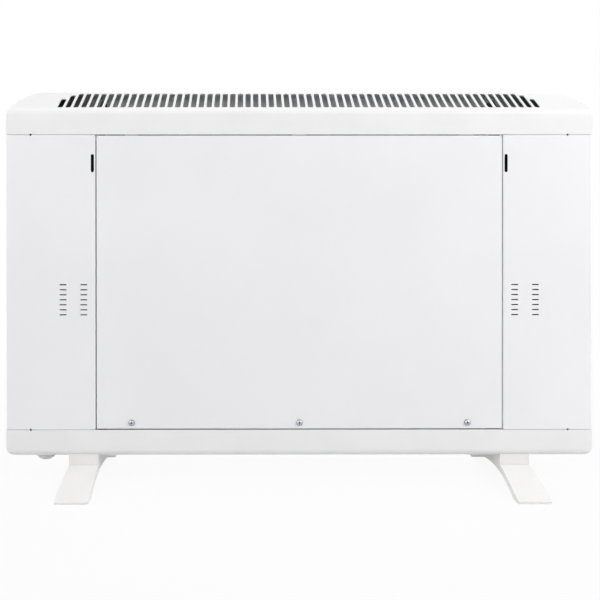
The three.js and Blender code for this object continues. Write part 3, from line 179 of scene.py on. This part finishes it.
INNER_WALL_DEPTH = 0.006  # from the cap's front face to the middle of the band with its front wall's inside
INNER_WALL_REACH = 0.0045  # half the depth of that band
INNER_WALL_FACING = 0.3  # least Y of a normal on the inside of that wall
END_SHADE_FADE = (0.013, 0.057)  # outwards from the chamber's end plates, where the painted shade begins and is full
# the colour that this painted shade multiplies the white by
END_SHADE_TINT = (0.18, 0.18, 0.18, 1)


def cap_plastic():
    """The top cap's white plastic, with painted shade darkening the inside of its front wall in the two end
    compartments.
    """
    surface, white = moulded_white("cap_plastic")
    cap_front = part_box("top_cap")[0].y
    plate_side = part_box("chamber_plate_right")[1].x
    place = surface.parts(surface.place)
    by_the_wall = surface.near(place["Y"], cap_front + INNER_WALL_DEPTH, INNER_WALL_REACH)
    faces_back = surface.calculate("GREATER_THAN", surface.parts(surface.facing)["Y"], INNER_WALL_FACING)
    from_middle = surface.calculate("ABSOLUTE", place["X"])
    fade = surface.mapped(from_middle, [plate_side + distance for distance in END_SHADE_FADE])
    # painted shade: the inside of the front wall darkens towards the two ends, where less light comes in
    # through the grille
    end_shade = surface.calculate("MULTIPLY", surface.calculate("MULTIPLY", by_the_wall, faces_back), fade)
    surface.colour(surface.vector("MULTIPLY", white, surface.ramp(end_shade, [(0, WHITE), (1, END_SHADE_TINT)])))
    return surface.material


def white_paint():
    surface = Surface("white_paint")
    surface.mottled((0.855, 0.855, 0.873, 1), (0.875, 0.875, 0.893, 1), size=0.15)
    surface.rough(0.33, 0.4, size=0.08)
    surface.grain(size=0.0016, depth=0.00004, strength=0.45, detail=2)
    return surface.material


def foot_plastic():
    surface = Surface("foot_plastic")
    surface.mottled((0.83, 0.825, 0.81, 1), (0.85, 0.845, 0.83, 1), size=0.04)
    surface.rough(0.45, 0.55)
    surface.grain(size=0.0005, depth=0.00004, strength=0.6)
    return surface.material


GLASS_BACK_FACING = 0.9  # least Y of a normal on the back of the glass
# the colour of the painted shade on the back of the glass
GLASS_BACK_SHADE = (0.03, 0.03, 0.032, 1)


def white_glass():
    """Glass that is white from the front, with painted shade that makes its back dark."""
    surface = Surface("white_glass", Coat_Weight=1.0, Coat_Roughness=0.03)
    white = surface.mottle((0.885, 0.9, 0.895, 1), (0.9, 0.91, 0.91, 1), size=0.2)
    facing_back = surface.parts(surface.facing)["Y"]
    # painted shade: the back of the glass, seen only from inside the heater, is made dark
    back_shade = surface.ramp(facing_back, [(0, WHITE), (GLASS_BACK_FACING, GLASS_BACK_SHADE)], "CONSTANT")
    surface.colour(surface.vector("MULTIPLY", white, back_shade))
    surface.rough(0.07, 0.12, size=0.05)
    return surface.material


def dark_glass():
    surface = Surface("dark_glass", Coat_Weight=1.0, Coat_Roughness=0.02)
    surface.mottled((0.008, 0.009, 0.011, 1), (0.012, 0.013, 0.015, 1), size=0.03)
    surface.rough(0.05, 0.1, size=0.02)
    return surface.material


def black_plastic():
    surface = Surface("black_plastic")
    surface.mottled((0.016, 0.016, 0.018, 1), (0.024, 0.024, 0.026, 1), size=0.01)
    surface.rough(0.4, 0.52, size=0.004)
    surface.grain(size=0.0004, depth=0.00005, strength=0.6)
    return surface.material


BAR_RISE = 0.0082  # from the middle of the switch up to the middle of the I
BAR_HALF_WIDTH = 0.00035
BAR_HALF_HEIGHT = 0.0018
RING_DROP = 0.0068  # from the middle of the switch down to the middle of the O
RING_RADIUS = 0.0016
RING_HALF_LINE = 0.0003
PRINT_COLOUR = (0.7, 0.7, 0.69, 1)


def marked_plastic():
    """Glossier black plastic with the usual I and O of a mains switch. Both run right through it along X."""
    surface = Surface("marked_plastic")
    switch_middle = sum(corner.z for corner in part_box("switch_housing")) / 2
    place = surface.parts(surface.place)
    bar_width = surface.near(place["Y"], 0, BAR_HALF_WIDTH)
    bar_height = surface.near(place["Z"], switch_middle + BAR_RISE, BAR_HALF_HEIGHT)
    bar = surface.calculate("MULTIPLY", bar_width, bar_height)
    from_ring = surface.vector("SUBTRACT", surface.place, (0, 0, switch_middle - RING_DROP))
    radius = surface.vector("LENGTH", surface.vector("MULTIPLY", from_ring, (0, 1, 1)))
    marks = surface.calculate("ADD", bar, surface.near(radius, RING_RADIUS, RING_HALF_LINE))
    black = surface.mottle((0.014, 0.014, 0.016, 1), (0.02, 0.02, 0.022, 1), size=0.01)
    printed = surface.node("ShaderNodeMixRGB")
    for socket, value in zip(printed.inputs, (marks, black, PRINT_COLOUR)):
        surface.feed(socket, value)
    surface.colour(printed.outputs["Color"])
    surface.rough(0.26, 0.36, size=0.004)
    surface.grain(size=0.0004, depth=0.00003, strength=0.4)
    return surface.material


def black_paint():
    surface = Surface("black_paint")
    surface.mottled((0.007, 0.007, 0.008, 1), (0.012, 0.012, 0.013, 1), size=0.02)
    surface.rough(0.55, 0.68, size=0.01)
    surface.grain(size=0.0009, depth=0.00004, strength=0.5)
    return surface.material


CRYSTAL_SIZE = 0.009
CRYSTAL_SPREAD = (0.1, 0.9)  # the tones at which a crystal is as dull or as bright as any
CRYSTAL_COLOURS = ((0.46, 0.48, 0.5, 1), (0.6, 0.62, 0.64, 1))


def galvanised_sheet():
    """Zinc-coated steel sheet, in which each crystal has its own tone and gloss."""
    surface = Surface("galvanised_sheet", Metallic=0.85)
    crystals = surface.node("ShaderNodeTexVoronoi")
    crystals.inputs["Scale"].default_value = 1 / CRYSTAL_SIZE
    surface.feed(crystals.inputs["Vector"], surface.place)
    tone = surface.node("ShaderNodeSeparateColor")
    surface.feed(tone.inputs["Color"], crystals.outputs["Color"])
    surface.colour(surface.ramp(tone.outputs["Red"], zip(CRYSTAL_SPREAD, CRYSTAL_COLOURS)))
    roughness = surface.mapped(tone.outputs["Green"], TEXTURE_SPREAD, (0.34, 0.5))
    surface.feed(surface.inputs["Roughness"], roughness)
    return surface.material


def streaked_metal(name, colours, size, stretch):
    """Metal whose colour and relief run in fine streaks, which are longer along an axis of small stretch."""
    surface = Surface(name, Metallic=0.95)
    streaks = surface.noise(size, detail=3, stretch=stretch)
    surface.colour(surface.ramp(streaks, zip(TEXTURE_SPREAD, colours)))
    surface.bump(streaks, depth=0.00003, strength=0.4)
    return surface


def element_aluminium():
    colours = ((0.55, 0.56, 0.57, 1), (0.68, 0.69, 0.7, 1))
    surface = streaked_metal("element_aluminium", colours, size=0.0008, stretch=(0.03, 1, 1))
    surface.rough(0.3, 0.42, size=0.01)
    return surface.material


def pendulum_brass():
    colours = ((0.5, 0.34, 0.1, 1), (0.66, 0.47, 0.17, 1))
    surface = streaked_metal("pendulum_brass", colours, size=0.0007, stretch=(1, 0.1, 0.1))
    surface.rough(0.24, 0.38, size=0.002)
    return surface.material


def zinc():
    surface = Surface("zinc", Metallic=0.95)
    surface.mottled((0.56, 0.57, 0.58, 1), (0.68, 0.69, 0.69, 1), size=0.003)
    surface.rough(0.22, 0.36, size=0.002)
    surface.grain(size=0.0006, depth=0.00003, strength=0.4)
    return surface.material


SCREW_SHADE_DEPTHS = (0.0012, 0.0003)  # painted shade below the top of a head: dark up to the first, unshaded from the second
# the colour of that painted shade
RECESS_SHADE_TINT = (0.12, 0.12, 0.12, 1)


def blue_zinc():
    """Bluish zinc, with painted shade in the cross recess and round the foot of the head."""
    surface = Surface("blue_zinc", Metallic=0.9)
    unshaded = surface.mottle((0.48, 0.51, 0.55, 1), (0.58, 0.61, 0.65, 1), size=0.002)
    head_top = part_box("rear_screw_centre")[1].y
    height = surface.mapped(surface.parts(surface.place)["Y"], [head_top - below for below in SCREW_SHADE_DEPTHS])
    # painted shade: darker further below the top of the head, in the recess and at its foot
    recess_shade = surface.ramp(height, [(0, RECESS_SHADE_TINT), (1, WHITE)])
    surface.colour(surface.vector("MULTIPLY", unshaded, recess_shade))
    surface.rough(0.42, 0.56, size=0.0015)
    surface.grain(size=0.0005, depth=0.00003, strength=0.4)
    return surface.material


def ceramic():
    surface = Surface("ceramic")
    surface.mottled((0.76, 0.72, 0.63, 1), (0.82, 0.78, 0.7, 1), size=0.006)
    surface.rough(0.55, 0.7, size=0.003)
    surface.grain(size=0.0007, depth=0.00006, strength=0.6, detail=4)
    return surface.material


BOARD_CELL = 0.012  # the pattern of tracks has two fields along this length and four across it
TRACK_HALF_WIDTH = 0.06  # of that length
BOARD_COLOURS = {
    "Color1": (0.012, 0.1, 0.04, 1),
    "Color2": (0.016, 0.13, 0.05, 1),
    "Mortar": (0.04, 0.22, 0.09, 1),
}


def circuit_board():
    """Green board with lighter tracks in a brick pattern, on its faces that look along X."""
    surface = Surface("circuit_board")
    tracks = surface.node("ShaderNodeTexBrick")
    tracks.inputs["Scale"].default_value = 1 / BOARD_CELL
    tracks.inputs["Mortar Size"].default_value = TRACK_HALF_WIDTH
    for socket, colour in BOARD_COLOURS.items():
        tracks.inputs[socket].default_value = colour
    turned = surface.node("ShaderNodeMapping")
    turned.inputs["Rotation"].default_value = (0, math.pi / 2, 0)
    surface.feed(turned.inputs["Vector"], surface.place)
    surface.feed(tracks.inputs["Vector"], turned.outputs["Vector"])
    surface.colour(tracks.outputs["Color"])
    surface.rough(0.35, 0.5, size=0.01)
    return surface.material


MATERIALS = {make.__name__: make() for make in (
    white_plastic, cap_plastic, white_paint, foot_plastic, white_glass, dark_glass,
    black_plastic, marked_plastic, black_paint, galvanised_sheet, element_aluminium,
    zinc, blue_zinc, ceramic, circuit_board, pendulum_brass,
)}
OWN_MATERIALS = {"power_rocker": "marked_plastic", "top_cap": "cap_plastic"}


def finish_nodes():
    """Gives every CAD node its own material, or else the one of its slot."""
    for part in frame["record"]["subparts"]:
        materials = frame["nodes"][part["node"]].data.materials
        materials.clear()
        materials.append(MATERIALS[OWN_MATERIALS.get(part["node"], part["material_slot"])])


# ---------------------------------------------------------------- edges

WELD_DISTANCE = 1e-6
BEVEL_ANGLE = math.radians(40)  # sharper edges than this are bevelled
BEVEL_SEGMENTS = 2
BEVELS = {
    "top_cap": 0.00025,
    "bottom_cap": 0.0004,
    "end_shell_left": 0.0003,
    "end_shell_right": 0.0003,
    "rear_panel": 0.0003,
    "foot_left": 0.0008,
    "foot_right": 0.0008,
    "front_glass": 0.0005,
    "display_window": 0.0003,
    "power_rocker": 0.0003,
    "switch_housing": 0.0003,
    "gland_nut": 0.0003,
}
SMOOTH_ANGLE = math.radians(32)  # sharper edges than this keep their crease


def smooth_by_angle():
    """A modifier tree that shades round faces smooth and keeps edges crisp."""
    tree = bpy.data.node_groups.new("smooth_by_angle", "GeometryNodeTree")
    for direction in ("INPUT", "OUTPUT"):
        tree.interface.new_socket("Geometry", in_out=direction, socket_type="NodeSocketGeometry")
    entry = tree.nodes.new("NodeGroupInput")
    leave = tree.nodes.new("NodeGroupOutput")
    faces = tree.nodes.new("GeometryNodeSetShadeSmooth")
    faces.domain = "FACE"
    edges = tree.nodes.new("GeometryNodeSetShadeSmooth")
    edges.domain = "EDGE"
    edges.inputs["Shade Smooth"].default_value = False
    angle = tree.nodes.new("GeometryNodeInputMeshEdgeAngle")
    sharp = tree.nodes.new("FunctionNodeCompare")
    sharp.operation = "GREATER_THAN"
    sharp.inputs["B"].default_value = SMOOTH_ANGLE
    tree.links.new(entry.outputs[0], faces.inputs["Geometry"])
    tree.links.new(faces.outputs[0], edges.inputs["Geometry"])
    tree.links.new(angle.outputs["Unsigned Angle"], sharp.inputs["A"])
    tree.links.new(sharp.outputs[0], edges.inputs["Selection"])
    tree.links.new(edges.outputs[0], leave.inputs[0])
    return tree


def soften_edges():
    """Small bevels on the outer pieces, and smooth shading everywhere."""
    tree = smooth_by_angle()
    for name, node in frame["nodes"].items():
        weld = node.modifiers.new("weld", "WELD")
        weld.merge_threshold = WELD_DISTANCE
        if name in BEVELS:
            bevel = node.modifiers.new("edges", "BEVEL")
            bevel.width = BEVELS[name]
            bevel.segments = BEVEL_SEGMENTS
            bevel.limit_method = "ANGLE"
            bevel.angle_limit = BEVEL_ANGLE
        smooth = node.modifiers.new("shading", "NODES")
        smooth.node_group = tree
        weighted = node.modifiers.new("flat_faces_flat", "WEIGHTED_NORMAL")
        weighted.keep_sharp = True


# ---------------------------------------------------------------- camera and lamps

CAMERA_PLACE = (0.0737, 1.1716, 0.3697)
SENSOR_WIDTH = 36  # millimetres, like the lens
CAMERA_LENS = 46.8
CAMERA_SHIFT = (0.0827, -0.1123)
CAMERA_TURN = (-0.163, -0.1345, -0.0234)  # degrees about its own axes, from level and square to the back
# name: (place, aimed at, width, height, watts)
LAMPS = {
    "overhead": ((0.5, 0.2, 3.0), (0, 0, 0.3), 3.0, 2.4, 30),
    "right": ((-1.5, 1.4, 1.5), (-0.2, 0, 0.4), 1.0, 1.0, 22),
    "left": ((2.2, 2.4, 1.6), (0, 0, 0.3), 1.8, 1.8, 41),
    "right_side": ((-2.8, 0.6, 1.2), (0, 0, 0.3), 1.6, 1.6, 28),
    "left_side": ((2.8, 0.6, 1.2), (0, 0, 0.3), 1.6, 1.6, 15),
    "before": ((-0.8, -3.6, 2.2), (0, 0, 0.3), 2.6, 1.6, 98),
}


def add_camera():
    data = bpy.data.cameras.new("camera")
    data.lens = CAMERA_LENS
    data.sensor_width = SENSOR_WIDTH
    data.shift_x, data.shift_y = CAMERA_SHIFT
    camera = bpy.data.objects.new("camera", data)
    camera.location = CAMERA_PLACE
    turned = Matrix.Rotation(math.pi, 4, "Z") @ Matrix.Rotation(math.pi / 2, 4, "X")
    for angle, axis in zip(CAMERA_TURN, "XYZ"):
        turned = turned @ Matrix.Rotation(math.radians(angle), 4, axis)
    camera.rotation_euler = turned.to_euler()
    bpy.context.scene.collection.objects.link(camera)
    bpy.context.scene.camera = camera


def add_lamps():
    for name, (place, target, width, height, watts) in LAMPS.items():
        data = bpy.data.lights.new(name, "AREA")
        data.shape = "RECTANGLE"
        data.size, data.size_y = width, height
        data.energy = watts
        lamp = bpy.data.objects.new(name, data)
        lamp.location = place
        lamp.rotation_euler = (Vector(target) - Vector(place)).to_track_quat("-Z", "Y").to_euler()
        bpy.context.scene.collection.objects.link(lamp)


# ---------------------------------------------------------------- backdrop and floor

AMBIENT = 0.06
FLOOR_SIZE = 12.0
FLOOR_FADE = (0.5, 1.6)  # between these distances the floor becomes as white as the backdrop
FLOOR_GLOW = 0.92  # how much of the nearer floor is plain white where it is seen directly
FLOOR_COLOURS = ((0.75, 0.75, 0.75, 1), (0.78, 0.78, 0.78, 1))
FLOOR_PATCHES = 3  # noise features along a side of the floor


def seen_directly(tree):
    """1 for what the camera sees straight, in a reflection or through glass."""
    rays = tree.node("ShaderNodeLightPath").outputs
    share = rays["Is Camera Ray"]
    for ray in ("Is Glossy Ray", "Is Transmission Ray"):
        share = tree.calculate("ADD", share, rays[ray], use_clamp=True)
    return share


def glowing(tree, kind, strength):
    """A plain white shader that gives light: a background or an emission."""
    made = tree.node(kind)
    made.inputs["Color"].default_value = WHITE
    made.inputs["Strength"].default_value = strength
    return made


def add_world():
    world = bpy.data.worlds.new("studio")
    bpy.context.scene.world = world
    tree = Tree(world)
    tree.nodes.remove(tree.nodes["Background"])
    light = glowing(tree, "ShaderNodeBackground", AMBIENT)
    backdrop = glowing(tree, "ShaderNodeBackground", 1)
    mix = tree.shader_mix(seen_directly(tree), light, backdrop)
    tree.feed(tree.nodes["World Output"].inputs["Surface"], mix)


def floor_material():
    """A pale matt floor. Seen directly it is nearly white, and it still takes the object's shadow."""
    material = bpy.data.materials.new("studio_floor")
    tree = Tree(material)
    tree.nodes.remove(tree.nodes["Principled BSDF"])
    patches = tree.node("ShaderNodeTexNoise")
    patches.inputs["Scale"].default_value = FLOOR_PATCHES
    matte = tree.node("ShaderNodeBsdfDiffuse")
    tree.feed(matte.inputs["Color"], tree.ramp(patches.outputs["Fac"], zip((0, 1), FLOOR_COLOURS)))
    distance = tree.vector("LENGTH", tree.node("ShaderNodeTexCoord").outputs["Object"])
    fade = tree.mapped(distance, FLOOR_FADE, (FLOOR_GLOW, 1), interpolation_type="SMOOTHSTEP")
    share = tree.calculate("MULTIPLY", seen_directly(tree), fade)
    mix = tree.shader_mix(share, matte, glowing(tree, "ShaderNodeEmission", 1))
    tree.feed(tree.nodes["Material Output"].inputs["Surface"], mix)
    return material


def add_floor():
    bpy.ops.mesh.primitive_plane_add(size=FLOOR_SIZE, location=(0, 0, 0))
    floor = bpy.context.object
    floor.name = "studio_floor"
    floor.data.materials.append(floor_material())


# ---------------------------------------------------------------- the scene

finish_nodes()
soften_edges()
add_camera()
add_lamps()
add_world()
add_floor()
bpy.context.scene.view_settings.view_transform = "Standard"

bpy.context.view_layer.update()
